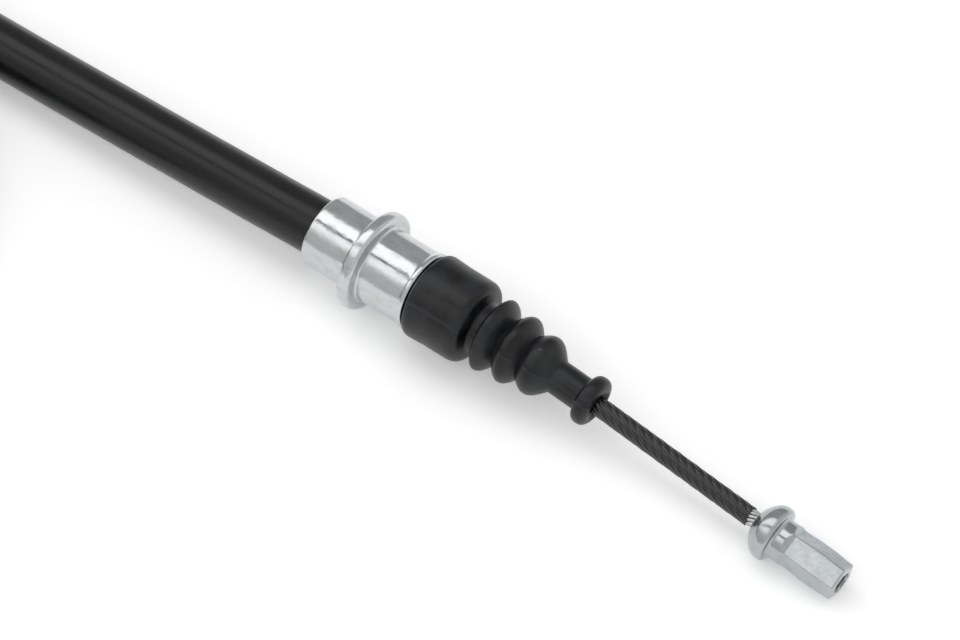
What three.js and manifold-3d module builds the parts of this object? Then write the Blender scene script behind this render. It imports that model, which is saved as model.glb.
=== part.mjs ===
// Parking brake cable: a jacketed conduit with a plated ferrule, a bellows boot and a coated
// wire rope that slides through it and ends in a swaged fitting with a domed head.
// The near end is modelled piece by piece. The spare length of conduit lies folded into a hank
// that two ties hold, and the plain far end lies inside that hank.
// Millimetres, +X along the ferrule towards the domed fitting, +Z up, resting on the floor at
// height zero. The origin is under the middle of the near end's own pieces.
import * as THREE from "three";
import { mergeVertices } from "three/addons/utils/BufferGeometryUtils.js";
import Module from "manifold-3d";

const wasm = await Module();
wasm.setup();

// Clearances
const fitGap = 0.3; // between pieces that are pressed, crimped or slid together
const faceGap = 0.3; // between faces that butt together
const smallGap = 0.12; // around the single wires

// Conduit: jacket, flat steel winding and liner
const conduitRadius = 6;
const jacketWall = 1.05;
const windingThickness = 1.1;
const windingWidth = 1.6;
const windingPitch = 2;

// Wire rope and its coating
const wireRadius = 0.33;
const wireCount = 12;
const wireSlack = 1.07; // spacing of neighbouring wires over their own thickness
const layLength = 25;
const coatRadius = 2.02;
const bareLength = 1.8;
const ropeTail = 13.7; // where the rope starts, ahead of each ferrule's rear face
const ropeRecess = 1; // how far the cut rope sits back inside a fitting

// Near ferrule, from its rear face forwards
const sleeveWall = 1.55;
const sleeveLength = 11.1;
const sleeveRound = 0.6;
const collarHeight = 3.05;
const collarThickness = 3.1;
const collarRound = 1.45;
const rearFillet = 1.1;
const frontFillet = 0.6;
const spigotStep = 0.35; // how much wider the front section is than the rear sleeve
const spigotLength = 12;
const beadHeight = 0.42;
const beadLength = 1.5;
const seatStep = 0.55; // how much narrower the boot's seat is than the front section
const seatLength = 10.6;
const grooveDepth = 0.7;
const grooveLength = 2.4;
const grooveSetback = 3.6;
const jacketDepth = 13; // how far the jacket reaches into a ferrule
const windingDepth = 16; // how far the winding reaches into a ferrule

// Bellows boot
const cuffWall = 1.2;
const cuffLength = 13.05;
const cuffTaper = 0.15;
const cuffRearRound = 1.3;
const cuffFrontRound = 2.4;
const bellowsWall = 1.1;
const ridgeRise = 2.7; // height of the first ridge over the first root
const rootDepth = 3.9; // depth of the first root under the cuff
const ridgeTaper = 0.5; // how much the second ridge is lower than the first
const lastRidgeTaper = 1.4; // how much the third ridge is lower than the first
const firstRidgeSetback = 3.6;
const ridgePitch = 5.83;
const neckWall = 1.25;
const neckFillet = 1;
const neckSetback = 4.1;
const ridgeToLip = 12.5;
const lipHeight = 1.8;
const lipHalfLength = 1.8;
const lipRecess = 1.1;

// Domed end fitting
const lipToHead = 44.85;
const headRadius = 5.95;
const domeLength = 3.85;
const headBack = 2.1;
const shankRadius = 4.28;
const neckLength = 2.2;
const headToEnd = 16.55;
const hexHalfFlats = 3.64;
const hexTurn = 27.6; // degrees from straight up to the middle of a flat
const boreChamfer = 0.4;
const cutMargin = 1; // how far a cutting shape reaches past what it cuts

// How the exposed rope leans sideways, in degrees
const ropeSway = 1.95;

// Far end
const farSleeveWall = 1;
const farSleeveLength = 19;
const farNoseLength = 7;
const farNoseRadius = 5;
const farRopeLength = 40;
const farFittingRadius = 4.75;
const farFittingLength = 14;
const farBendSetback = 4;
const farBendLength = 16;
const edgeChamfer = 0.6;

// Hank and ties
const foldRadius = 41.6;
const runLength = 96;
const runGap = 0.4;
const tieThickness = 1.2;
const tieWidth = 4.8;
const tieHeadLength = 6.5;
const tieHeadHeight = 4;
const tieTail = 5;
const hankChamfer = 3.4;
const tieSetback = 5;

// Facets
const roundSides = 28;
const bootSides = 24;
const smallSides = 12;
const wireSides = 4;
const wireStep = 3.6;
const windingSides = 10;

// Radii that follow from the sizes above
const jacketInner = conduitRadius - jacketWall;
const windingOuter = jacketInner - fitGap;
const windingInner = windingOuter - windingThickness;
const linerOuter = windingInner * Math.cos(Math.PI / windingSides) - smallGap;
const linerInner = coatRadius + fitGap;
const wireCircle = (wireRadius * wireSlack) / Math.sin(Math.PI / wireCount);
const ropeRadius = wireCircle + wireRadius;
const coreRadius = wireCircle * Math.cos((Math.PI * wireStep) / layLength) - wireRadius - smallGap;
const coatInner = ropeRadius + smallGap;
const ropeBore = ropeRadius + 2 * smallGap;
const conduitBore = conduitRadius + fitGap;
const windingBore = windingOuter + fitGap;
const linerBore = linerOuter + fitGap;
const sleeveRadius = conduitBore + sleeveWall;
const collarRadius = sleeveRadius + collarHeight;
const spigotRadius = sleeveRadius + spigotStep;
const seatRadius = spigotRadius - seatStep;
const cuffRadius = seatRadius + fitGap + cuffWall;
const neckRadius = linerInner + neckWall;
const farSleeveRadius = conduitBore + farSleeveWall;

// Stations along the near end, from the ferrule's rear face
const collarRear = sleeveLength;
const collarFront = collarRear + collarThickness;
const bootRear = collarFront + spigotLength;
const seatFront = bootRear + seatLength;
const cuffFront = bootRear + cuffLength;
const ridgeAt = [0, 1, 2].map((i) => cuffFront + firstRidgeSetback + i * ridgePitch);
const lipAt = ridgeAt[2] + ridgeToLip;
const headAt = lipAt + lipToHead;
const fittingStart = headAt - domeLength;
const fittingEnd = headAt + headToEnd;
const coatEnd = fittingStart - bareLength;

const matte = (color, roughness) => new THREE.MeshStandardMaterial({ color, roughness, metalness: 0 });
const metal = (color, roughness) => new THREE.MeshStandardMaterial({ color, roughness, metalness: 1 });
const finish = {
  plate: () => metal(0xc4c8cc, 0.28),
  forged: () => metal(0xb9c0c6, 0.32),
  steel: () => metal(0x9a9da0, 0.4),
  jacket: () => matte(0x2a2b2d, 0.45),
  coat: () => matte(0x232426, 0.4),
  rubber: () => matte(0x27292a, 0.75),
  liner: () => matte(0xe4e2da, 0.5),
  nylon: () => matte(0x1d1e1f, 0.5),
};

// A geometry with only positions and with its shared corners merged.
function welded(geometry) {
  const plain = geometry.index ? geometry : geometry.clone();
  plain.deleteAttribute("normal");
  plain.deleteAttribute("uv");
  return mergeVertices(plain, 1e-4);
}

function piece(name, geometry, material) {
  const solid = welded(geometry);
  solid.computeVertexNormals();
  const mesh = new THREE.Mesh(solid, material);
  mesh.name = name;
  return mesh;
}

function toManifold(geometry) {
  const solid = welded(geometry);
  return new wasm.Manifold(
    new wasm.Mesh({
      numProp: 3,
      vertProperties: new Float32Array(solid.attributes.position.array),
      triVerts: new Uint32Array(solid.index.array),
    }),
  );
}

function fromManifold(manifold) {
  const mesh = manifold.getMesh();
  const geometry = new THREE.BufferGeometry();
  geometry.setAttribute("position", new THREE.BufferAttribute(new Float32Array(mesh.vertProperties), 3));
  geometry.setIndex(new THREE.BufferAttribute(new Uint32Array(mesh.triVerts), 1));
  return geometry;
}

// Turns a closed outline of (station, radius) points about the X axis.
function turned(outline, sides = roundSides) {
  const points = outline.map((point) => new THREE.Vector2(point.y, point.x));
  if (THREE.ShapeUtils.isClockWise(points)) points.reverse();
  points.push(points[0].clone());
  return new THREE.LatheGeometry(points, sides).rotateZ(-Math.PI / 2);
}

// The points of a path, without repeats.
function outlineOf(path, divisions) {
  const points = path.getPoints(divisions);
  return points.filter((point, i) => i === 0 || point.distanceTo(points[i - 1]) > 1e-3);
}

function tube(start, end, outer, inner, sides, steps = 1) {
  const outline = [];
  for (let i = 0; i <= steps; i += 1) outline.push(new THREE.Vector2(start + ((end - start) * i) / steps, outer));
  for (let i = steps; i >= 0; i -= 1) outline.push(new THREE.Vector2(start + ((end - start) * i) / steps, inner));
  return turned(outline, sides);
}

// A rod along X with rings of corners at even steps.
function rod(start, end, radius, sides, steps) {
  const geometry = new THREE.CylinderGeometry(radius, radius, end - start, sides, steps);
  return geometry.rotateZ(-Math.PI / 2).translate((start + end) / 2, 0, 0);
}

// Moves every corner of a geometry by a function of its place.
function mapped(geometry, place) {
  const position = geometry.attributes.position;
  const corner = new THREE.Vector3();
  for (let i = 0; i < position.count; i += 1) {
    place(corner.fromBufferAttribute(position, i));
    position.setXYZ(i, corner.x, corner.y, corner.z);
  }
  return geometry;
}

// The rope's lay: everything off the axis turns left-handed about it with the distance along it.
function laid(geometry) {
  const axis = new THREE.Vector3(1, 0, 0);
  return mapped(geometry, (corner) => corner.applyAxisAngle(axis, (-2 * Math.PI * corner.x) / layLength));
}

// Bends what lies past a station down and sideways by two small angles, on one round arc.
function bendAfter(start, end, down, side) {
  const angle = Math.hypot(down, side);
  const radius = (end - start) / angle;
  const towards = new THREE.Vector3(0, -side / angle, -down / angle);
  return (corner) => {
    if (corner.x <= start) return corner;
    const turn = Math.min(corner.x - start, end - start) / radius;
    const beyond = Math.max(corner.x - end, 0);
    const inward = corner.dot(towards);
    const arm = radius - inward;
    const bentInward = radius - arm * Math.cos(turn) + beyond * Math.sin(turn);
    corner.addScaledVector(towards, bentInward - inward);
    corner.x = start + arm * Math.sin(turn) + beyond * Math.cos(turn);
    return corner;
  };
}

// The exposed rope droops until the fitting's head rests on the floor.
const headDrop = collarRadius - headRadius;
const droopStart = ridgeAt[0];
const droopDown = headDrop / (headAt - (droopStart + lipAt) / 2);
const droop = bendAfter(droopStart, lipAt, droopDown, THREE.MathUtils.degToRad(ropeSway));

function ferruleGeometry() {
  const p = new THREE.Path();
  p.moveTo(0, conduitBore);
  p.lineTo(0, sleeveRadius - sleeveRound);
  p.quadraticCurveTo(0, sleeveRadius, sleeveRound, sleeveRadius);
  p.lineTo(collarRear - rearFillet, sleeveRadius);
  p.quadraticCurveTo(collarRear, sleeveRadius, collarRear, sleeveRadius + rearFillet);
  p.lineTo(collarRear, collarRadius - collarRound);
  p.quadraticCurveTo(collarRear, collarRadius, collarRear + collarThickness / 2, collarRadius);
  p.quadraticCurveTo(collarFront, collarRadius, collarFront, collarRadius - collarRound);
  p.lineTo(collarFront, spigotRadius + frontFillet);
  p.quadraticCurveTo(collarFront, spigotRadius, collarFront + frontFillet, spigotRadius);
  p.lineTo(bootRear - faceGap - beadLength, spigotRadius);
  p.quadraticCurveTo(
    bootRear - faceGap - beadLength / 2,
    spigotRadius + 2 * beadHeight,
    bootRear - faceGap,
    spigotRadius - seatStep,
  );
  p.lineTo(bootRear + grooveSetback, seatRadius);
  p.lineTo(bootRear + grooveSetback, seatRadius - grooveDepth);
  p.lineTo(bootRear + grooveSetback + grooveLength, seatRadius - grooveDepth);
  p.lineTo(bootRear + grooveSetback + grooveLength, seatRadius);
  p.lineTo(seatFront - edgeChamfer, seatRadius);
  p.lineTo(seatFront, seatRadius - edgeChamfer);
  p.lineTo(seatFront, linerBore);
  p.lineTo(windingDepth + faceGap, linerBore);
  p.lineTo(windingDepth + faceGap, windingBore);
  p.lineTo(jacketDepth + faceGap, windingBore);
  p.lineTo(jacketDepth + faceGap, conduitBore);
  return turned(outlineOf(p, 3));
}

function bootGeometry() {
  const cuffInner = seatRadius + fitGap;
  const shoulder = cuffRadius - cuffTaper;
  const root = cuffRadius - rootDepth;
  const crest = root + ridgeRise;
  const crests = [crest, crest - ridgeTaper, crest - lastRidgeTaper];
  const between = (i) => (ridgeAt[i] + ridgeAt[i + 1]) / 2;
  const firstRoot = (cuffFront + ridgeAt[0]) / 2;
  const neckStart = ridgeAt[2] + neckSetback;
  const lipFront = lipAt + lipHalfLength;
  const lipRadius = neckRadius + lipHeight;
  const wave = (offset) => [
    new THREE.Vector2(firstRoot, root - offset),
    new THREE.Vector2(ridgeAt[0], crests[0] - offset),
    new THREE.Vector2(between(0), root - offset),
    new THREE.Vector2(ridgeAt[1], crests[1] - offset),
    new THREE.Vector2(between(1), root - ridgeTaper - offset),
    new THREE.Vector2(ridgeAt[2], crests[2] - offset),
  ];
  const outer = new THREE.Path();
  outer.moveTo(bootRear, cuffInner);
  outer.lineTo(bootRear, cuffRadius - cuffRearRound + smallGap);
  outer.quadraticCurveTo(bootRear, cuffRadius, bootRear + cuffRearRound, cuffRadius);
  outer.lineTo(cuffFront - cuffFrontRound, shoulder);
  outer.quadraticCurveTo(cuffFront, shoulder, cuffFront, shoulder - cuffFrontRound);
  outer.lineTo(firstRoot, root);
  outer.splineThru(wave(0).slice(1));
  outer.quadraticCurveTo(neckStart - neckFillet, neckRadius, neckStart, neckRadius);
  outer.lineTo(lipAt - lipHalfLength, neckRadius);
  outer.quadraticCurveTo(lipAt - lipHalfLength, lipRadius, lipAt, lipRadius);
  outer.quadraticCurveTo(lipFront, lipRadius, lipFront, neckRadius);
  outer.lineTo(lipFront, linerInner + lipRecess);
  outer.lineTo(lipFront - lipRecess, linerInner);
  outer.lineTo(neckStart, linerInner);
  const points = outlineOf(outer, 3);
  const inner = new THREE.Path();
  inner.moveTo(neckStart, linerInner);
  inner.splineThru(wave(bellowsWall).reverse());
  const ribFront = bootRear + grooveSetback + grooveLength - fitGap;
  const ribRear = bootRear + grooveSetback + fitGap;
  inner.lineTo(seatFront + faceGap, root - bellowsWall);
  inner.lineTo(seatFront + faceGap, cuffInner);
  inner.lineTo(ribFront, cuffInner);
  inner.lineTo(ribFront, cuffInner - grooveDepth);
  inner.lineTo(ribRear, cuffInner - grooveDepth);
  inner.lineTo(ribRear, cuffInner);
  return turned([...points, ...outlineOf(inner, 2).slice(1)], bootSides);
}

function fittingGeometry() {
  const p = new THREE.Path();
  const neckStart = headAt + headBack;
  p.moveTo(fittingStart, ropeBore);
  p.lineTo(fittingStart, ropeBore + boreChamfer);
  p.bezierCurveTo(
    fittingStart + domeLength * 0.05,
    headRadius * 0.82,
    headAt - domeLength * 0.55,
    headRadius,
    headAt,
    headRadius,
  );
  p.quadraticCurveTo(headAt + headBack * 0.62, headRadius, headAt + headBack * 0.62, headRadius * 0.86);
  p.quadraticCurveTo(headAt + headBack * 0.62, shankRadius, neckStart, shankRadius);
  p.lineTo(fittingEnd - boreChamfer, shankRadius);
  p.lineTo(fittingEnd, shankRadius - boreChamfer);
  p.lineTo(fittingEnd, ropeBore + boreChamfer);
  p.lineTo(fittingEnd - boreChamfer, ropeBore);
  const body = toManifold(turned(outlineOf(p, 5), 24));
  const hexStart = neckStart + neckLength;
  const hexCorner = hexHalfFlats / Math.cos(Math.PI / 6);
  const hex = rod(hexStart - cutMargin, fittingEnd + cutMargin, hexCorner, 6, 1);
  hex.rotateX(THREE.MathUtils.degToRad(hexTurn + 30));
  const round = rod(fittingStart - cutMargin, hexStart, headRadius + cutMargin, 24, 1);
  return fromManifold(body.intersect(toManifold(hex).add(toManifold(round))));
}

function windingGeometry(end) {
  const start = faceGap + windingWidth / 2;
  const turns = (end - start - windingWidth / 2) / windingPitch;
  const steps = Math.round(turns * windingSides);
  const strip = new THREE.BoxGeometry(1, windingThickness, windingWidth, steps, 1, 1);
  return mapped(strip, (corner) => {
    const around = (corner.x + 0.5) * turns * 2 * Math.PI;
    const radius = (windingOuter + windingInner) / 2 + corner.y;
    const along = start + (corner.x + 0.5) * turns * windingPitch - corner.z;
    return corner.set(along, radius * Math.cos(around), radius * Math.sin(around));
  });
}

function nearEnd() {
  const end = new THREE.Group();
  const droopedPiece = (name, geometry, material) => {
    end.add(piece(name, mapped(geometry, droop), material));
  };
  end.add(piece("ferrule", ferruleGeometry(), finish.plate()));
  end.add(piece("jacket_end", tube(faceGap / 2, jacketDepth, conduitRadius, jacketInner, 24), finish.jacket()));
  end.add(piece("steel_winding", windingGeometry(windingDepth), finish.steel()));
  end.add(piece("liner", tube(faceGap, seatFront, linerOuter, linerInner, smallSides), finish.liner()));
  droopedPiece("boot", bootGeometry(), finish.rubber());
  droopedPiece("wire_coating", tube(ropeTail, coatEnd, coatRadius, coatInner, smallSides, 12), finish.coat());
  const ropeEnd = fittingEnd - ropeRecess;
  const ropeSteps = Math.round((ropeEnd - ropeTail) / wireStep);
  droopedPiece("rope_core", rod(ropeTail, ropeEnd, coreRadius, 8, 14), finish.steel());
  for (let i = 0; i < wireCount; i += 1) {
    const wire = rod(ropeTail, ropeEnd, wireRadius, wireSides, ropeSteps).translate(0, 0, wireCircle);
    wire.rotateX((2 * Math.PI * i) / wireCount);
    droopedPiece(`rope_wire_${String(i + 1).padStart(2, "0")}`, laid(wire), finish.steel());
  }
  droopedPiece("end_fitting", fittingGeometry(), finish.forged());
  return end;
}

// The cord lies on the ties' bands, so its axis is at this height where it is folded.
const lyingHeight = tieThickness + fitGap + conduitRadius;

// The free stretch behind the near ferrule: how far back, how far to the camera's side, and
// what share of the fall from the ferrule's axis down to the folded runs is still to come.
const leadRoute = [
  [faceGap / 2, 0.12, 1],
  [4, 0.22, 0.993],
  [8, 0.34, 0.96],
  [14, 0.49, 0.893],
  [22, 0.66, 0.806],
  [30, 0.83, 0.72],
  [38, 0.99, 0.634],
  [46, 1.14, 0.548],
  [54, 1.28, 0.462],
  [62, 1.43, 0.376],
  [70, 1.57, 0.292],
  [78, 1.7, 0.214],
  [86, 1.83, 0.145],
  [94, 1.93, 0.088],
  [102, 2.01, 0.043],
  [108, 2.05, 0.015],
  [114, 2.05, 0],
];
const leadLength = leadRoute[leadRoute.length - 1][0];
const leadSide = leadRoute[leadRoute.length - 1][1];

// The hank's runs, beside each other: its outer fold, its middle fold and its inner fold.
const runPitch = 2 * conduitRadius + runGap;
const farSpacing = conduitRadius + farSleeveRadius + runGap;
const firstRunY = -leadSide;
const secondRunY = firstRunY - 2 * (foldRadius + runPitch);
const thirdRunY = firstRunY - runPitch;
const farAxisY = secondRunY + farSpacing;
const outerFold = (firstRunY - secondRunY) / 2;
const middleFold = (thirdRunY - secondRunY) / 2;
const innerFold = (thirdRunY - farAxisY) / 2;
const foldsRightX = -leadLength;
const foldsLeftX = -leadLength - runLength;

function leadGeometry() {
  const points = leadRoute.map(
    ([back, side, share]) =>
      new THREE.Vector3(-back, -side, lyingHeight + share * (collarRadius - lyingHeight)),
  );
  points[points.length - 1].x += faceGap;
  const section = new THREE.Shape().absarc(0, 0, conduitRadius, 0, 2 * Math.PI);
  return new THREE.ExtrudeGeometry(section, {
    steps: 5,
    curveSegments: 12,
    bevelEnabled: false,
    extrudePath: new THREE.CatmullRomCurve3(points),
  });
}

function hankGeometry() {
  const r = conduitRadius;
  const halfTurn = Math.PI / 2;
  const outer = new THREE.Shape();
  outer.moveTo(foldsRightX, firstRunY + r);
  outer.lineTo(foldsLeftX, firstRunY + r);
  outer.absarc(foldsLeftX, firstRunY - outerFold, outerFold + r, halfTurn, 3 * halfTurn, false);
  outer.absarc(foldsRightX, secondRunY + middleFold, middleFold + r, -halfTurn, halfTurn, false);
  const hole = new THREE.Path();
  hole.moveTo(foldsRightX, thirdRunY - r);
  hole.absarc(foldsLeftX, thirdRunY - innerFold, innerFold - r, halfTurn, 3 * halfTurn, false);
  hole.lineTo(foldsLeftX, secondRunY + r);
  hole.absarc(foldsRightX, secondRunY + middleFold, middleFold - r, -halfTurn, halfTurn, false);
  outer.holes.push(hole);
  const geometry = new THREE.ExtrudeGeometry(outer, {
    depth: 2 * (r - hankChamfer),
    curveSegments: 9,
    bevelThickness: hankChamfer,
    bevelSize: hankChamfer,
    bevelOffset: -hankChamfer,
    bevelSegments: 1,
  });
  return geometry.translate(0, 0, lyingHeight - r + hankChamfer);
}

// A tie around two neighbouring runs, with its locking head on top and a cut tail.
function tieGeometry(middleX, lowY, highY) {
  const width = highY - lowY + 2 * fitGap;
  const height = 2 * (conduitRadius + fitGap);
  const ring = (grow) => {
    const halfWidth = width / 2 + grow;
    const halfHeight = height / 2 + grow;
    const round = hankChamfer * 0.8 + grow;
    const shape = new THREE.Shape();
    shape.absarc(halfWidth - round, halfHeight - round, round, 0, Math.PI / 2);
    shape.absarc(-halfWidth + round, halfHeight - round, round, Math.PI / 2, Math.PI);
    shape.absarc(-halfWidth + round, -halfHeight + round, round, Math.PI, 1.5 * Math.PI);
    shape.absarc(halfWidth - round, -halfHeight + round, round, 1.5 * Math.PI, 2 * Math.PI);
    return shape;
  };
  const band = ring(tieThickness);
  band.holes.push(ring(0));
  const loop = new THREE.ExtrudeGeometry(band, { depth: tieWidth, curveSegments: 4, bevelEnabled: false });
  loop.translate(0, 0, -tieWidth / 2);
  const top = height / 2 + tieThickness / 2;
  const head = new THREE.BoxGeometry(tieHeadLength, tieHeadHeight + tieThickness / 2, tieWidth * 1.35);
  head.translate(0, top + (tieHeadHeight + tieThickness / 2) / 2, 0);
  const tail = new THREE.BoxGeometry(tieThickness, tieTail, tieWidth);
  tail.translate(tieHeadLength / 4, top + tieHeadHeight + tieTail / 2 - tieThickness, 0);
  const tie = fromManifold(toManifold(loop).add(toManifold(head)).add(toManifold(tail)));
  tie.rotateX(Math.PI / 2);
  tie.rotateZ(Math.PI / 2);
  return tie.translate(middleX, (lowY + highY) / 2, lyingHeight);
}

function farEnd() {
  const end = new THREE.Group();
  const seat = farSleeveLength + farNoseLength;
  const ropeStart = ropeTail;
  const bendStart = seat + farBendSetback;
  const bendEnd = bendStart + farBendLength;
  const fittingFrom = seat + farRopeLength;
  const fittingTo = fittingFrom + farFittingLength;
  const drop = lyingHeight - farFittingRadius;
  const bend = bendAfter(bendStart, bendEnd, drop / (fittingTo - (bendStart + bendEnd) / 2), 0);
  const sleeve = new THREE.Path();
  sleeve.moveTo(0, conduitBore);
  sleeve.lineTo(0, farSleeveRadius - edgeChamfer);
  sleeve.lineTo(edgeChamfer, farSleeveRadius);
  sleeve.lineTo(farSleeveLength - edgeChamfer, farSleeveRadius);
  sleeve.lineTo(farSleeveLength, farSleeveRadius - edgeChamfer);
  sleeve.lineTo(farSleeveLength, farNoseRadius);
  sleeve.lineTo(seat - edgeChamfer, farNoseRadius);
  sleeve.lineTo(seat, farNoseRadius - edgeChamfer);
  sleeve.lineTo(seat, linerBore);
  sleeve.lineTo(windingDepth + faceGap, linerBore);
  sleeve.lineTo(windingDepth + faceGap, windingBore);
  sleeve.lineTo(jacketDepth + faceGap, windingBore);
  sleeve.lineTo(jacketDepth + faceGap, conduitBore);
  const barrel = [
    [fittingFrom, ropeBore],
    [fittingFrom, farFittingRadius - edgeChamfer],
    [fittingFrom + edgeChamfer, farFittingRadius],
    [fittingTo - edgeChamfer, farFittingRadius],
    [fittingTo, farFittingRadius - edgeChamfer],
    [fittingTo, ropeBore],
  ].map(([along, radius]) => new THREE.Vector2(along, radius));
  const coat = tube(ropeStart, fittingFrom - faceGap, coatRadius, coatInner, smallSides, 8);
  const rope = rod(ropeStart, fittingTo - ropeRecess, ropeRadius, 12, 8);
  end.add(piece("far_ferrule", turned(sleeve.getPoints(), 24), finish.plate()));
  end.add(piece("far_jacket_end", tube(faceGap / 2, jacketDepth, conduitRadius, jacketInner, 24), finish.jacket()));
  end.add(piece("far_steel_winding", windingGeometry(windingDepth), finish.steel()));
  end.add(piece("far_liner", tube(faceGap, seat, linerOuter, linerInner, smallSides), finish.liner()));
  end.add(piece("far_wire_coating", mapped(coat, bend), finish.coat()));
  end.add(piece("far_wire_rope", mapped(rope, bend), finish.steel()));
  end.add(piece("far_end_fitting", mapped(turned(barrel, 24), bend), finish.forged()));
  end.position.set(foldsLeftX + faceGap, farAxisY, lyingHeight);
  return end;
}

const near = nearEnd();
near.position.z = collarRadius;

const group = new THREE.Group();
group.add(near);
group.add(piece("conduit_lead", leadGeometry(), finish.jacket()));
group.add(piece("conduit_hank", hankGeometry(), finish.jacket()));
group.add(
  piece(
    "hank_tie_1",
    tieGeometry((foldsRightX + foldsLeftX) / 2, thirdRunY - conduitRadius, firstRunY + conduitRadius),
    finish.nylon(),
  ),
);
// The second tie holds the start of the folds, where the inner one has begun to curve away.
const tieReach = tieSetback + tieWidth / 2;
const innerFoldSide = farAxisY + innerFold - Math.sqrt((innerFold - conduitRadius) ** 2 - tieReach ** 2);
group.add(
  piece(
    "hank_tie_2",
    tieGeometry(foldsLeftX - tieSetback, secondRunY - conduitRadius, innerFoldSide),
    finish.nylon(),
  ),
);
group.add(farEnd());

// The origin goes under the middle of the near end.
group.updateMatrixWorld(true);
const nearBox = new THREE.Box3().setFromObject(near);
group.position.set(-(nearBox.min.x + nearBox.max.x) / 2, -(nearBox.min.y + nearBox.max.y) / 2, -nearBox.min.z);
group.updateMatrixWorld(true);

export default group;
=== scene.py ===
"""A parking brake cable, dressed for its photograph.

The near end shows: jacketed conduit, plated ferrule with a rolled collar, bellows boot, coated
wire rope and swaged fitting with a domed head. The spare conduit lies outside the view as a tied
hank, with a plain far end. Sizes are in millimetres in the classes and in metres in the meshes.
"""
import logging
import math
from dataclasses import dataclass, field
from enum import Enum
from typing import Sequence

import bmesh
import bpy
import numpy as np
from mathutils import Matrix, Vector, noise


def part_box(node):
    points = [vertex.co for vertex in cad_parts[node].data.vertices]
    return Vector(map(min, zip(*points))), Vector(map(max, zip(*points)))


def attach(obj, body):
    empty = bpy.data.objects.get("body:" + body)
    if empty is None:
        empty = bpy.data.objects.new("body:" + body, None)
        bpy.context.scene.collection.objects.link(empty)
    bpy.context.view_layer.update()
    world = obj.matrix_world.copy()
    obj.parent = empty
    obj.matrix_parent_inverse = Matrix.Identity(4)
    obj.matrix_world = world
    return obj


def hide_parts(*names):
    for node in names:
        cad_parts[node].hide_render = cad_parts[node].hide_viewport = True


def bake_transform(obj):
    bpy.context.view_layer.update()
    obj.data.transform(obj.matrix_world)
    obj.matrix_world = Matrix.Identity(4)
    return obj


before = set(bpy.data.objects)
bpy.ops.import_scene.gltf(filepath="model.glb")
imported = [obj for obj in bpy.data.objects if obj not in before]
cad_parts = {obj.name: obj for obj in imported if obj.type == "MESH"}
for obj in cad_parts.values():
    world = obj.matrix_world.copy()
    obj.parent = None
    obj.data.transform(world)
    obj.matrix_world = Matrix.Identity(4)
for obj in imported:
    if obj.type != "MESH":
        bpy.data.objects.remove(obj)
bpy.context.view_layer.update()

LOG = logging.getLogger("brake_cable")
MM = 0.001
SHARP_ANGLE = math.radians(40)

Colour = tuple[float, float, float]
Triple = tuple[float, float, float]
Pair = tuple[float, float]


class Body(Enum):
    """The bodies of the frame that a piece can ride on."""

    CONDUIT = "conduit"
    INNER_WIRE = "inner_wire"
    FAR_INNER_WIRE = "far_inner_wire"


class Slot(Enum):
    """Names of the record's material slots."""

    PLATED = "plated_steel"
    FORGED = "forged_steel"
    WIRE = "wire"
    JACKET = "jacket"
    COATING = "coating"
    RUBBER = "boot_rubber"
    TIE = "tie_nylon"


# Meshes


class Outline:
    """A half section drawn as (station, radius) points in millimetres."""

    def __init__(self, station: float, radius: float) -> None:
        """Starts the outline at one point."""
        self.points: list[Pair] = [(station, radius)]

    def line(self, station: float, radius: float, steps: int = 1) -> "Outline":
        """Draws a straight stretch.

        Args:
            station: Where it ends along the axis.
            radius: Where it ends from the axis.
            steps: How many pieces it is cut into.

        Returns:
            The outline, so that calls can be chained.
        """
        s0, r0 = self.points[-1]
        for i in range(1, steps + 1):
            t = i / steps
            self.points.append((s0 + (station - s0) * t, r0 + (radius - r0) * t))
        return self

    def curve(self, via: Pair, end: Pair, steps: int = 8) -> "Outline":
        """Draws a round stretch that bends towards one point.

        Args:
            via: The point that the curve bends towards.
            end: Where it ends.
            steps: How many pieces it is cut into.

        Returns:
            The outline, so that calls can be chained.
        """
        s0, r0 = self.points[-1]
        for i in range(1, steps + 1):
            t = i / steps
            a, b, c = (1 - t) ** 2, 2 * t * (1 - t), t * t
            self.points.append((a * s0 + b * via[0] + c * end[0], a * r0 + b * via[1] + c * end[1]))
        return self

    def wave(self, knots: Sequence[Pair], steps: int = 10) -> "Outline":
        """Draws a smooth line through roots and crests.

        Args:
            knots: The points that it passes through.
            steps: How many pieces lie between two of them.

        Returns:
            The outline, so that calls can be chained.
        """
        chain = [self.points[-1], *knots]
        for i in range(len(chain) - 1):
            p0 = chain[max(i - 1, 0)]
            p1, p2 = chain[i], chain[i + 1]
            p3 = chain[min(i + 2, len(chain) - 1)]
            for j in range(1, steps + 1):
                t = j / steps
                self.points.append(tuple(catmull(p0[k], p1[k], p2[k], p3[k], t) for k in (0, 1)))
        return self

    def array(self) -> np.ndarray:
        """Gives the points as an array of rows."""
        return np.array(self.points)


def catmull(a: float, b: float, c: float, d: float, t: float) -> float:
    """Gives the value between b and c on a smooth line through four values.

    Args:
        a: The value before.
        b: The value at the start.
        c: The value at the end.
        d: The value after.
        t: How far along, from 0 to 1.

    Returns:
        The value at t.
    """
    bend = (2 * a - 5 * b + 4 * c - d) * t**2
    twist = (3 * b - a - 3 * c + d) * t**3
    return 0.5 * (2 * b + (c - a) * t + bend + twist)


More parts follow.
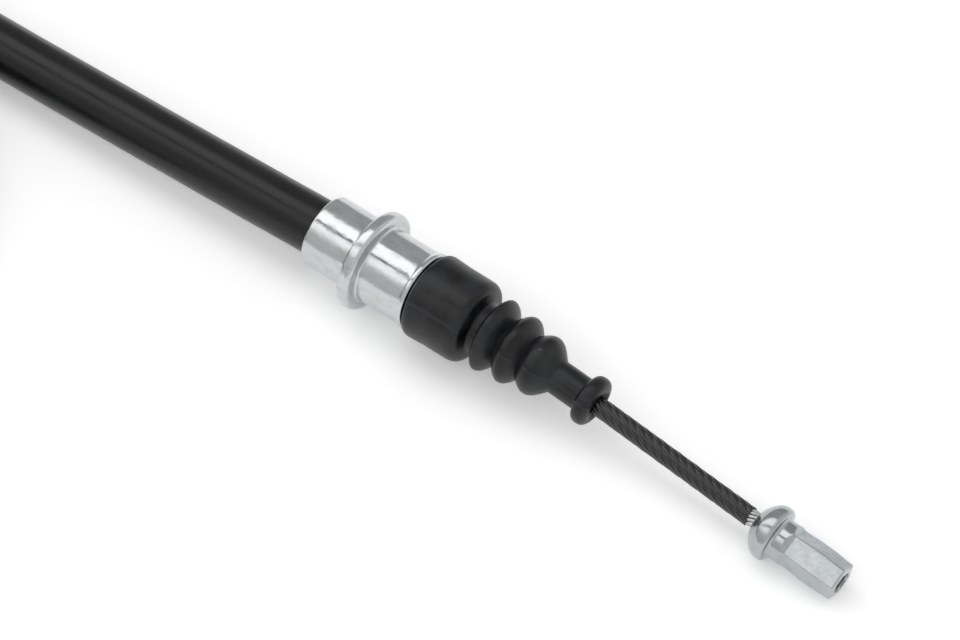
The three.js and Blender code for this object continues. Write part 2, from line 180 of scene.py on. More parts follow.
def skin(name: str, rings: np.ndarray, loop: bool = False) -> bpy.types.Object:
    """Makes a smooth mesh from rings of points in metres.

    Args:
        name: The object's name.
        rings: An array of rings, points and coordinates.
        loop: Whether the last ring joins the first; otherwise both ends are capped.

    Returns:
        The new object, linked to the scene.
    """
    count, sides = rings.shape[:2]
    quads = []
    for i in range(count if loop else count - 1):
        k = (i + 1) % count
        for j in range(sides):
            m = (j + 1) % sides
            quads.append((i * sides + j, i * sides + m, k * sides + m, k * sides + j))
    if not loop:
        quads.append(tuple(range(sides - 1, -1, -1)))
        quads.append(tuple((count - 1) * sides + j for j in range(sides)))
    mesh = bpy.data.meshes.new(name)
    mesh.from_pydata(rings.reshape(-1, 3).tolist(), [], quads)
    mesh.validate()
    obj = bpy.data.objects.new(name, mesh)
    bpy.context.scene.collection.objects.link(obj)
    face_outwards(obj)
    mesh.polygons.foreach_set("use_smooth", [True] * len(mesh.polygons))
    mesh.set_sharp_from_angle(angle=SHARP_ANGLE)
    return obj


def face_outwards(obj: bpy.types.Object) -> None:
    """Turns a closed mesh's faces outwards, by the sign of its volume.

    Args:
        obj: The object whose mesh it is.
    """
    work = bmesh.new()
    work.from_mesh(obj.data)
    bmesh.ops.recalc_face_normals(work, faces=work.faces)
    if work.calc_volume(signed=True) < 0:
        bmesh.ops.reverse_faces(work, faces=work.faces)
    work.to_mesh(obj.data)
    work.free()


def turned(outline: np.ndarray, angles: np.ndarray) -> np.ndarray:
    """Turns an outline about the X axis.

    Args:
        outline: Rows of station and radius.
        angles: Angles from straight up towards the camera's side, in radians.

    Returns:
        Rings of (along, sideways, up) in the outline's own unit.
    """
    station = np.repeat(outline[:, :1], len(angles), axis=1)
    side = -outline[:, 1:] * np.sin(angles)[None, :]
    up = outline[:, 1:] * np.cos(angles)[None, :]
    return np.stack([station, side, up], axis=2)


def even_angles(sides: int) -> np.ndarray:
    """Gives angles evenly round a circle."""
    return np.linspace(0, 2 * math.pi, sides, endpoint=False)


def smooth_step(value: np.ndarray) -> np.ndarray:
    """Eases a value from 0 to 1."""
    t = np.clip(value, 0, 1)
    return t * t * (3 - 2 * t)


@dataclass(frozen=True)
class Droop:
    """The round arc by which the exposed rope bends down and sideways, in millimetres."""

    start: float
    end: float
    down: float
    side: float

    def bend(self, points: np.ndarray) -> np.ndarray:
        """Bends what lies past the start.

        Args:
            points: Any array whose last axis is along, sideways, up.

        Returns:
            The bent points.
        """
        angle = math.hypot(self.down, self.side)
        radius = (self.end - self.start) / angle
        towards = np.array([0, -self.side / angle, -self.down / angle])
        along = points[..., 0]
        turn = np.clip(along - self.start, 0, self.end - self.start) / radius
        beyond = np.maximum(along - self.end, 0)
        inward = points @ towards
        arm = radius - inward
        bent_inward = radius - arm * np.cos(turn) + beyond * np.sin(turn)
        out = points + (bent_inward - inward)[..., None] * towards
        out[..., 0] = np.where(
            along <= self.start, along, self.start + arm * np.sin(turn) + beyond * np.cos(turn)
        )
        return out


@dataclass(frozen=True)
class Axis:
    """An end's own axis in the frame: where its ferrule's rear face stands."""

    rear: Vector

    @classmethod
    def of(cls, node: str) -> "Axis":
        """Reads the axis from a ferrule's box."""
        low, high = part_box(node)
        return cls(Vector((low.x, (low.y + high.y) / 2, (low.z + high.z) / 2)))

    def place(self, points: np.ndarray) -> np.ndarray:
        """Moves points in millimetres from the rear face to their place in metres."""
        return points * MM + np.array(self.rear)


# Finishes


class Shader:
    """A small helper that adds and joins shader nodes."""

    def __init__(self, name: str) -> None:
        """Starts a material with one principled shader.

        Args:
            name: The material's name.
        """
        self.material = bpy.data.materials.new(name)
        self.material.use_nodes = True
        self.tree = self.material.node_tree
        self.principled = self.tree.nodes["Principled BSDF"]

    def set(self, **values: object) -> None:
        """Sets sockets of the principled shader, with underscores for spaces."""
        for key, value in values.items():
            self.principled.inputs[key.replace("_", " ")].default_value = value

    def node(
        self, kind: str, inputs: dict[str | int, object] | None = None, **attributes: object
    ) -> bpy.types.Node:
        """Adds a node.

        Args:
            kind: The node's type without its Shader Node prefix.
            inputs: Values or sockets for its inputs, by name or index.
            attributes: Its own settings.

        Returns:
            The node.
        """
        node = self.tree.nodes.new(f"ShaderNode{kind}")
        for key, value in attributes.items():
            setattr(node, key, value)
        for key, value in (inputs or {}).items():
            self.join(value, node.inputs[key])
        return node

    def join(self, value: object, socket: bpy.types.NodeSocket) -> None:
        """Links a socket to another, or sets its value.

        Args:
            value: Another socket, or a value.
            socket: The input that takes it.
        """
        if isinstance(value, bpy.types.NodeSocket):
            self.tree.links.new(value, socket)
        else:
            socket.default_value = value

    def calc(self, operation: str, a: object, b: object = 0.0) -> bpy.types.NodeSocket:
        """Gives the result of a math node."""
        return self.node("Math", {0: a, 1: b}, operation=operation).outputs[0]

    def place(self, scale: Triple = (1, 1, 1)) -> bpy.types.NodeSocket:
        """Gives the point on the piece, in millimetres times a scale.

        Args:
            scale: Factors for the three directions.

        Returns:
            A vector socket.
        """
        coordinates = self.node("TexCoord").outputs["Object"]
        factor = tuple(s / MM for s in scale)
        return self.node("Mapping", {"Vector": coordinates, "Scale": factor}).outputs["Vector"]

    def round_place(self, centre: Vector, scale: Pair) -> bpy.types.NodeSocket:
        """Gives a vector that turns with the angle about an axis along X.

        Args:
            centre: A point on the axis, in metres.
            scale: Factors for the station in millimetres and for the angle in radians.

        Returns:
            A vector socket of station, cosine and sine.
        """
        coordinates = self.node("TexCoord").outputs["Object"]
        parts = self.node("SeparateXYZ", {0: coordinates})
        side = self.calc("SUBTRACT", parts.outputs["Y"], centre.y)
        up = self.calc("SUBTRACT", parts.outputs["Z"], centre.z)
        angle = self.calc("ARCTAN2", side, up)
        station = self.calc("MULTIPLY", parts.outputs["X"], scale[0] / MM)
        cosine = self.calc("MULTIPLY", self.calc("COSINE", angle), scale[1])
        sine = self.calc("MULTIPLY", self.calc("SINE", angle), scale[1])
        return self.node("CombineXYZ", {0: station, 1: cosine, 2: sine}).outputs[0]

    def grain(
        self, vector: bpy.types.NodeSocket, scale: float, detail: float = 3
    ) -> bpy.types.NodeSocket:
        """Gives a noise value around one half."""
        inputs = {"Vector": vector, "Scale": scale, "Detail": detail}
        return self.node("TexNoise", inputs).outputs["Fac"]

    def span(
        self, value: bpy.types.NodeSocket, low: float, high: float, to_low: float, to_high: float
    ) -> bpy.types.NodeSocket:
        """Maps a value from one range to another and clamps it."""
        source = {"Value": value, "From Min": low, "From Max": high}
        return self.node("MapRange", source | {"To Min": to_low, "To Max": to_high}).outputs["Result"]

    def mix(self, factor: bpy.types.NodeSocket, a: Colour, b: Colour) -> bpy.types.NodeSocket:
        """Mixes two colours by a factor.

        Args:
            factor: 0 for the first colour and 1 for the second.
            a: The first colour.
            b: The second colour.

        Returns:
            A colour socket.
        """
        node = self.node("Mix", {"Factor": factor}, data_type="RGBA")
        node.inputs["A"].default_value = (*a, 1)
        node.inputs["B"].default_value = (*b, 1)
        return node.outputs["Result"]

    def blend_over(
        self, factor: bpy.types.NodeSocket, below: bpy.types.NodeSocket, above: Colour
    ) -> bpy.types.NodeSocket:
        """Lays a colour over another where the factor says so.

        Args:
            factor: How much of the upper colour shows.
            below: The lower colour's socket.
            above: The upper colour.

        Returns:
            A colour socket.
        """
        node = self.node("Mix", {"Factor": factor}, data_type="RGBA")
        self.tree.links.new(below, node.inputs["A"])
        node.inputs["B"].default_value = (*above, 1)
        return node.outputs["Result"]

    def specks(
        self, vector: bpy.types.NodeSocket, scale: float, size: float, share: float
    ) -> bpy.types.NodeSocket:
        """Gives 1 on sparse small specks.

        Args:
            vector: Where the pattern is read.
            scale: Cells for each unit.
            size: A speck's radius in cells.
            share: The share of cells that have one.

        Returns:
            A value socket.
        """
        cell = self.node("TexVoronoi", {"Vector": vector, "Scale": scale})
        near = self.span(cell.outputs["Distance"], size * 0.5, size, 1, 0)
        chosen = self.node("SeparateColor", {0: cell.outputs["Color"]}).outputs[0]
        present = self.calc("GREATER_THAN", chosen, 1 - share)
        return self.calc("MULTIPLY", near, present)

    def shine(self, value: bpy.types.NodeSocket, low: float, high: float) -> None:
        """Lets a noise value vary the roughness between two levels."""
        self.join(self.span(value, 0.3, 0.7, low, high), self.principled.inputs["Roughness"])

    def paint(self, colour: bpy.types.NodeSocket) -> None:
        """Sets the base colour from a socket."""
        self.join(colour, self.principled.inputs["Base Color"])

    def relief(self, heights: Sequence[tuple[bpy.types.NodeSocket, float]]) -> None:
        """Adds bumps one over another.

        Args:
            heights: Pairs of a height socket from 0 to 1 and its depth in millimetres.
        """
        normal = None
        for height, depth in heights:
            bump = self.node("Bump", {"Height": height, "Distance": depth * MM, "Strength": 1.0})
            if normal is not None:
                self.tree.links.new(normal, bump.inputs["Normal"])
            normal = bump.outputs["Normal"]
        if normal is not None:
            self.tree.links.new(normal, self.principled.inputs["Normal"])

    def dress(self, *objects: bpy.types.Object) -> None:
        """Puts the material on objects.

        Args:
            objects: What wears it.
        """
        for obj in objects:
            obj.data.materials.clear()
            obj.data.materials.append(self.material)


@dataclass(frozen=True)
class SatinPlastic:
    """Black extruded or moulded plastic with fine lines along it and a few specks."""

    name: str
    colour: Colour = (0.0042, 0.0046, 0.0052)
    worn: Colour = (0.0066, 0.007, 0.0076)
    roughness: float = 0.27
    line_depth: float = 0.006
    speck_share: float = 0.02
    speck: Colour = (0.16, 0.16, 0.16)
    gloss: float = 0.34

    def build(self) -> Shader:
        """Makes the material.

        Returns:
            The shader that dresses pieces in it.
        """
        s = Shader(self.name)
        cloud = s.grain(s.place(), 0.09, 4)
        tone = s.mix(s.span(cloud, 0.35, 0.7, 0, 1), self.colour, self.worn)
        dust = s.specks(s.place(), 0.55, 0.09, self.speck_share)
        tone = s.blend_over(s.span(dust, 0, 1, 0, 0.5), tone, self.speck)
        s.paint(tone)
        lines = s.grain(s.place((0.03, 2.2, 2.2)), 1.0, 3)
        fine = s.grain(s.place(), 5.5, 2)
        s.shine(cloud, self.roughness - 0.05, self.roughness + 0.07)
        s.relief([(lines, self.line_depth), (fine, 0.004)])
        s.set(Specular_IOR_Level=self.gloss)
        return s


@dataclass(frozen=True)
class MouldedRubber:
    """Matt black rubber with a dusty bloom and lint."""

    name: str
    colour: Colour = (0.0022, 0.0026, 0.0032)
    bloom: Colour = (0.0165, 0.018, 0.0195)
    lint: Colour = (0.2, 0.2, 0.2)
    roughness: float = 0.34
    gloss: float = 0.34
    swell_depth: float = 0.02
    pore_depth: float = 0.006

    def build(self) -> Shader:
        """Makes the material.

        Returns:
            The shader that dresses pieces in it.
        """
        s = Shader(self.name)
        cloud = s.grain(s.place(), 0.22, 5)
        tone = s.mix(s.span(cloud, 0.38, 0.68, 0, 1), self.colour, self.bloom)
        lint = s.specks(s.place(), 0.42, 0.1, 0.05)
        tone = s.blend_over(s.span(lint, 0, 1, 0, 0.55), tone, self.lint)
        s.paint(tone)
        s.shine(cloud, self.roughness - 0.06, self.roughness + 0.1)
        swells, pores = s.grain(s.place(), 0.8, 2), s.grain(s.place(), 7, 2)
        s.relief([(swells, self.swell_depth), (pores, self.pore_depth)])
        s.set(Specular_IOR_Level=self.gloss)
        return s


@dataclass(frozen=True)
class ZincPlate:
    """Bright zinc plate over turned steel, with turning lines and small scratches."""

    name: str
    centre: Vector
    colour: Colour = (0.56, 0.58, 0.59)
    dull: Colour = (0.48, 0.485, 0.468)
    roughness: float = 0.12
    wave_depth: float = 0.06
    drawn_depth: float = 0.011
    turning_depth: float = 0.0045

    def build(self) -> Shader:
        """Makes the material.

        Returns:
            The shader that dresses pieces in it.
        """
        s = Shader(self.name)
        cloud = s.grain(s.place(), 0.35, 5)
        stain = s.grain(s.place((0.6, 1.6, 1.6)), 0.5, 4)
        tone = s.mix(s.span(stain, 0.45, 0.75, 0, 0.75), self.colour, self.dull)
        s.paint(tone)
        turning = s.grain(s.round_place(self.centre, (9.0, 1.5)), 1.0, 3)
        drawn = s.grain(s.round_place(self.centre, (0.12, 42.0)), 1.0, 4)
        shine = s.span(cloud, 0.3, 0.72, self.roughness - 0.04, self.roughness + 0.12)
        s.join(shine, s.principled.inputs["Roughness"])
        waves = (s.grain(s.place(), 0.5, 2), self.wave_depth)
        s.relief([waves, (drawn, self.drawn_depth), (turning, self.turning_depth)])
        s.set(Metallic=1.0)
        return s


@dataclass(frozen=True)
class SwagedSteel:
    """Plated steel pressed in a die: pale, faintly blue, softly uneven."""

    name: str
    colour: Colour = (0.435, 0.46, 0.475)
    dull: Colour = (0.365, 0.38, 0.385)
    roughness: float = 0.17
    dent_depth: float = 0.014
    grain_depth: float = 0.003
    mark_depth: float = -0.01

    def build(self) -> Shader:
        """Makes the material.

        Returns:
            The shader that dresses pieces in it.
        """
        s = Shader(self.name)
        cloud = s.grain(s.place(), 0.45, 5)
        tone = s.mix(s.span(cloud, 0.42, 0.72, 0, 0.8), self.colour, self.dull)
        s.paint(tone)
        s.shine(s.grain(s.place(), 1.1, 4), self.roughness - 0.04, self.roughness + 0.08)
        dents = s.grain(s.place((0.5, 1, 1)), 0.7, 3)
        marks = s.specks(s.place(), 0.9, 0.12, 0.07)
        fine = (s.grain(s.place(), 3.5, 3), self.grain_depth)
        s.relief([(dents, self.dent_depth), fine, (marks, self.mark_depth)])
        s.set(Metallic=1.0)
        return s


@dataclass(frozen=True)
class BareSteel:
    """Plain steel wire or strip."""

    name: str
    colour: Colour = (0.62, 0.63, 0.63)
    roughness: float = 0.25

    def build(self) -> Shader:
        """Makes the material.

        Returns:
            The shader that dresses pieces in it.
        """
        s = Shader(self.name)
        streak = s.grain(s.place((0.4, 3, 3)), 1.0, 3)
        dark = tuple(c * 0.75 for c in self.colour)
        s.paint(s.mix(s.span(streak, 0.35, 0.7, 0, 1), self.colour, dark))
        s.shine(streak, self.roughness - 0.05, self.roughness + 0.1)
        s.relief([(streak, 0.006)])
        s.set(Metallic=1.0)
        return s


@dataclass(frozen=True)
class PalePlastic:
    """Smooth off-white liner plastic."""

    name: str
    colour: Colour = (0.78, 0.77, 0.72)

    def build(self) -> Shader:
        """Makes the material.

        Returns:
            The shader that dresses pieces in it.
        """
        s = Shader(self.name)
        cloud = s.grain(s.place(), 0.4, 3)
        s.paint(s.mix(cloud, self.colour, tuple(c * 0.9 for c in self.colour)))
        s.relief([(s.grain(s.place(), 4, 2), 0.004)])
        s.set(Roughness=0.4)
        return s


# The view and the light


@dataclass(frozen=True)
class Studio:
    """The camera at the photograph's angle, a pale floor and a sky of soft bands.

    The sky gives the light's level at angles from straight up, turned about the cable's direction.
    Past the fitting's end it has one even level, far_half.
    """

    azimuth: float = 37.18
    elevation: float = 54.61
    distance: float = 0.85
    lens: float = 160.32
    aim: Triple = (0.0372, 0.00286, -0.0028)
    floor_size: float = 6.0
    floor_colour: Colour = (0.97, 0.97, 0.97)
    sky: tuple[Pair, ...] = (
        (-180, 0.7),
        (-90, 0.62),
        (-55, 0.68),
        (-43, 1.1),
        (-37, 1.5),
        (-22, 1.5),
        (-19, 0.12),
        (-14, 0.12),
        (-10, 1.75),
        (20, 1.75),
        (25, 0.47),
        (85, 0.47),
        (100, 0.7),
        (180, 0.7),
    )
    far_half: float = 0.78
    far_fade: Pair = (-0.05, 0.3)
    floor_lift: float = 0.2

    def camera(self, start: Vector) -> None:
        """Sets up the camera, aimed from the ferrule's rear face.

        Args:
            start: The middle of that face, in metres.
        """
        data = bpy.data.cameras.new("camera")
        data.lens = self.lens
        data.sensor_width = 36
        data.clip_end = 20
        camera = bpy.data.objects.new("camera", data)
        bpy.context.scene.collection.objects.link(camera)
        azimuth, elevation = math.radians(self.azimuth), math.radians(self.elevation)
        towards = Vector(
            (
                math.cos(elevation) * math.sin(azimuth),
                -math.cos(elevation) * math.cos(azimuth),
                math.sin(elevation),
            )
        )
        camera.location = start + Vector(self.aim) + towards * self.distance
        camera.rotation_euler = (math.pi / 2 - elevation, 0, azimuth)
        bpy.context.scene.camera = camera

    def floor(self) -> None:
        """Lays the floor.

        It looks a little paler than it is lit, so that the background comes out white.
        """
        half = self.floor_size / 2
        mesh = bpy.data.meshes.new("floor")
        corners = [(-half, -half, 0), (half, -half, 0), (half, half, 0), (-half, half, 0)]
        mesh.from_pydata(corners, [], [(0, 1, 2, 3)])
        floor = bpy.data.objects.new("floor", mesh)
        bpy.context.scene.collection.objects.link(floor)
        s = Shader("pale_floor")
        s.set(Base_Color=(*self.floor_colour, 1), Roughness=0.9, Specular_IOR_Level=0.0)
        s.set(Emission_Color=(1, 1, 1, 1))
        path = s.node("LightPath")
        rays = (path.outputs["Is Camera Ray"], path.outputs["Is Glossy Ray"])
        lift = s.calc("MULTIPLY", s.calc("MAXIMUM", *rays), self.floor_lift)
        s.join(lift, s.principled.inputs["Emission Strength"])
        s.dress(floor)

    def light(self) -> None:
        """Lights the world with a sky that only changes around the cable's own direction."""
        world = bpy.data.worlds.new("studio")
        bpy.context.scene.world = world
        world.use_nodes = True
        tree = world.node_tree
        background = tree.nodes["Background"]
        direction = tree.nodes.new("ShaderNodeTexCoord")
        parts = tree.nodes.new("ShaderNodeSeparateXYZ")
        angle = tree.nodes.new("ShaderNodeMath")
        angle.operation = "ARCTAN2"
        share = tree.nodes.new("ShaderNodeMapRange")
        share.inputs["From Min"].default_value = -math.pi
        share.inputs["From Max"].default_value = math.pi
        ramp = tree.nodes.new("ShaderNodeValToRGB")
        half = tree.nodes.new("ShaderNodeMapRange")
        half.inputs["From Min"].default_value = self.far_fade[0]
        half.inputs["From Max"].default_value = self.far_fade[1]
        both = tree.nodes.new("ShaderNodeMix")
        both.data_type = "RGBA"
        peak = max(level for _, level in self.sky)
        even = self.far_half / peak
        both.inputs["B"].default_value = (even, even, even, 1)
        tree.links.new(direction.outputs["Generated"], parts.inputs[0])
        tree.links.new(parts.outputs["Y"], angle.inputs[0])
        tree.links.new(parts.outputs["Z"], angle.inputs[1])
        tree.links.new(angle.outputs[0], share.inputs["Value"])
        tree.links.new(share.outputs["Result"], ramp.inputs["Fac"])
        tree.links.new(parts.outputs["X"], half.inputs["Value"])
        tree.links.new(half.outputs["Result"], both.inputs["Factor"])
        tree.links.new(ramp.outputs["Color"], both.inputs["A"])
        tree.links.new(both.outputs["Result"], background.inputs["Color"])
        background.inputs["Strength"].default_value = peak
        stops = ramp.color_ramp.elements
        while len(stops) < len(self.sky):
            stops.new(0.5)
        for stop, (degrees, level) in zip(stops, self.sky):
            stop.position = (degrees + 180) / 360
            stop.color = (level / peak, level / peak, level / peak, 1)

    def build(self, start: Vector) -> None:
        """Makes the camera, the floor and the light.

        Args:
            start: The middle of the near ferrule's rear face, in metres.
        """
        self.camera(start)
        self.floor()
        self.light()
        bpy.context.scene.view_settings.view_transform = "Standard"


# The conduit


@dataclass
class Conduit:
    """The jacketed conduit: a straight lead behind the ferrule and a folded hank."""

    near: Axis
    far: Axis
    radius: float = 6.0
    lying_height: float = 7.5
    run_gap: float = 0.4
    run_length: float = 96.0
    sides: int = 40
    fold_steps: int = 40
    run_steps: int = 12
    knot_steps: int = 4
    far_inset: float = 0.15
    lead: tuple[Triple, ...] = (
        (0.15, 0.12, 1),
        (4, 0.22, 0.993),
        (8, 0.34, 0.96),
        (14, 0.49, 0.893),
        (22, 0.66, 0.806),
        (30, 0.83, 0.72),
        (38, 0.99, 0.634),
        (46, 1.14, 0.548),
        (54, 1.28, 0.462),
        (62, 1.43, 0.376),
        (70, 1.57, 0.292),
        (78, 1.7, 0.214),
        (86, 1.83, 0.145),
        (94, 1.93, 0.088),
        (102, 2.01, 0.043),
        (108, 2.05, 0.015),
        (114, 2.05, 0),
    )

    def lead_points(self) -> list[Vector]:
        """Gives the lead's centre line.

        The rows of lead are the way back from the ferrule, the way sideways, both in millimetres,
        and the share of the fall to the floor that is still to come.

        Returns:
            Points from the ferrule backwards, in metres.
        """
        fall = self.near.rear.z / MM - self.lying_height
        knots = [
            Vector((-back, -side, self.lying_height + share * fall)) for back, side, share in self.lead
        ]
        line = [knots[0]]
        for i in range(len(knots) - 1):
            before, start, end = knots[max(i - 1, 0)], knots[i], knots[i + 1]
            after = knots[min(i + 2, len(knots) - 1)]
            for j in range(1, self.knot_steps + 1):
                t = j / self.knot_steps
                row = zip(before, start, end, after)
                line.append(Vector([catmull(*values, t) for values in row]))
        shift = Vector((self.near.rear.x, self.near.rear.y, 0))
        return [point * MM + shift for point in line]

    def hank_points(self) -> list[Vector]:
        """Gives the hank's centre line: three runs joined by three half-turns.

        Returns:
            Points from the lead's end to the far ferrule, in metres.
        """
        start = self.lead_points()[-1] / MM
        pitch = 2 * self.radius + self.run_gap
        low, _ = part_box("conduit_hank")
        first = start.y
        second = low.y / MM + self.radius
        third = first - pitch
        last = self.far.rear.y / MM
        right, left = start.x, start.x - self.run_length
        line: list[Vector] = []
        folds = ((left, first, second, 1), (right, second, third, -1), (left, third, last, 1))
        for x, y_from, y_to, way in folds:
            centre, fold = (y_from + y_to) / 2, (y_from - y_to) / 2
            run_from = line[-1].x if line else start.x
            for j in range(1, self.run_steps):
                along = run_from + (x - run_from) * j / self.run_steps
                line.append(Vector((along, y_from, self.lying_height)))
            for j in range(self.fold_steps + 1):
                turn = math.pi * j / self.fold_steps
                along = x - way * abs(fold) * math.sin(turn)
                line.append(Vector((along, centre + fold * math.cos(turn), self.lying_height)))
        line.append(Vector((self.far.rear.x / MM - self.far_inset, last, self.lying_height)))
        return [point * MM for point in line]

    def build(self, finish: Shader) -> bpy.types.Object:
        """Makes the conduit as one tube.

        Args:
            finish: The jacket's material.

        Returns:
            The tube.
        """
        centre = self.centre_line()
        tangent = np.gradient(centre, axis=0)
        tangent /= np.linalg.norm(tangent, axis=1)[:, None]
        side = np.cross(tangent, [0, 0, 1])
        side /= np.linalg.norm(side, axis=1)[:, None]
        up = np.cross(side, tangent)
        angles = even_angles(self.sides)
        r = self.radius * MM
        rings = (
            centre[:, None, :]
            + r * np.cos(angles)[None, :, None] * side[:, None, :]
            + r * np.sin(angles)[None, :, None] * up[:, None, :]
        )
        cord = skin("conduit", rings)
        finish.dress(cord)
        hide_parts("conduit_lead", "conduit_hank")
        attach(cord, Body.CONDUIT.value)
        return cord

    def centre_line(self) -> np.ndarray:
        """Gives the whole centre line as rows in metres."""
        return np.array([tuple(p) for p in self.lead_points() + self.hank_points()])

    def declare(self) -> None:
        """Logs the tube's length.
        """
        centre = self.centre_line()
        length = float(np.linalg.norm(np.diff(centre, axis=0), axis=1).sum())
        [tuple(p) for p in centre]
        LOG.info("conduit, %.3f m long", length)


# The near end


@dataclass(frozen=True)
class Socket:
    """The stepped bore that holds the conduit's end, alike in both ferrules, in millimetres."""

    mouth: float = 6.08
    jacket: float = 6.3
    jacket_stop: float = 13.3
    winding: float = 4.95
    winding_stop: float = 16.3
    liner: float = 3.6
    mouth_round: float = 1.0

    def cut(self, outline: Outline, front: float) -> None:
        """Draws the bore back from a ferrule's front face.

        Args:
            outline: The ferrule's half section so far.
            front: Station of that face.
        """
        outline.line(front, self.liner).line(self.winding_stop, self.liner)
        outline.line(self.winding_stop, self.winding).line(self.jacket_stop, self.winding)
        outline.line(self.jacket_stop, self.jacket).line(self.mouth_round, self.jacket)


@dataclass
class NearEnd:
    """Stations and sizes that the near end's pieces share, in millimetres."""

    axis: Axis
    collar_rear: float = 11.1
    collar_front: float = 14.2
    boot_rear: float = 26.2
    seat_front: float = 36.8
    cuff_front: float = 39.3
    ridges: Triple = (42.85, 48.68, 54.51)
    lip: float = 67.01
    head: float = 111.86
    fitting_start: float = 108.01
    fitting_end: float = 128.41
    coat_end: float = 106.4
    sleeve_radius: float = 7.85
    collar_radius: float = 10.9
    spigot_radius: float = 8.2
    seat_radius: float = 7.65
    head_radius: float = 5.95
    coat_radius: float = 2.02
    wire_radius: float = 0.33
    wire_circle: float = 1.3643
    lay_length: float = 25.0
    rope_tail: float = 13.7
    rope_sway: float = 1.95
    droop: Droop = field(init=False)

    def __post_init__(self) -> None:
        """Works out how far the exposed rope droops until the head rests on the floor."""
        drop = self.collar_radius - self.head_radius
        down = drop / (self.head - (self.ridges[0] + self.lip) / 2)
        self.droop = Droop(self.ridges[0], self.lip, down, math.radians(self.rope_sway))

    def place(self, points: np.ndarray) -> np.ndarray:
        """Bends points by the droop and moves them to their place."""
        return self.axis.place(self.droop.bend(points))


@dataclass
class Ferrule:
    """The plated ferrule with its rolled collar and its bead at the boot."""

    end: NearEnd
    socket: Socket = Socket()
    rear_round: float = 0.85
    collar_round: float = 1.35
    bead_length: float = 1.5
    sides: int = 160

    def outline(self) -> np.ndarray:
        """Draws the ferrule's half section.

        Returns:
            Rows of station and radius.
        """
        e = self.end
        bead_end = e.boot_rear - 0.3
        top = e.collar_radius - self.collar_round
        bore = self.socket.mouth
        o = Outline(0.35, bore)
        o.curve((0.0, bore + 0.05), (0.0, bore + 0.45), 4)
        o.line(0, e.sleeve_radius - self.rear_round, 2)
        o.curve((0, e.sleeve_radius), (self.rear_round, e.sleeve_radius), 10)
        o.line(e.collar_rear - 1.5, e.sleeve_radius, 12)
        o.curve((e.collar_rear - 0.15, e.sleeve_radius), (e.collar_rear, e.sleeve_radius + 1.5), 12)
        o.line(e.collar_rear, top, 4)
        middle = (e.collar_rear + e.collar_front) / 2
        o.curve((e.collar_rear, e.collar_radius), (middle - 0.1, e.collar_radius), 12)
        o.line(middle + 0.1, e.collar_radius, 2)
        o.curve((e.collar_front, e.collar_radius), (e.collar_front, top), 12)
        o.line(e.collar_front, e.spigot_radius + 0.7, 4)
        o.curve((e.collar_front, e.spigot_radius), (e.collar_front + 0.6, e.spigot_radius), 8)
        o.line(bead_end - self.bead_length - 0.5, e.spigot_radius, 12)
        bead_start = bead_end - self.bead_length
        o.curve((bead_start, e.spigot_radius), (bead_end - 1.2, e.spigot_radius + 0.25), 6)
        o.curve((bead_end - 0.7, e.spigot_radius + 0.55), (bead_end - 0.25, e.spigot_radius + 0.2), 8)
        o.curve((bead_end, e.spigot_radius), (bead_end, e.seat_radius), 6)
        o.line(e.seat_front - 0.6, e.seat_radius, 4)
        o.line(e.seat_front, e.seat_radius - 0.6)
        self.socket.cut(o, e.seat_front)
        return o.array()

    def build(self, finish: Shader) -> bpy.types.Object:
        """Makes the ferrule.

        Args:
            finish: Its material.

        Returns:
            The ferrule.
        """
        rings = turned(self.outline(), even_angles(self.sides))
        ferrule = skin("plated_ferrule", self.end.axis.place(rings), loop=True)
        finish.dress(ferrule)
        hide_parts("ferrule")
        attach(ferrule, Body.CONDUIT.value)
        LOG.info("ferrule")
        return ferrule


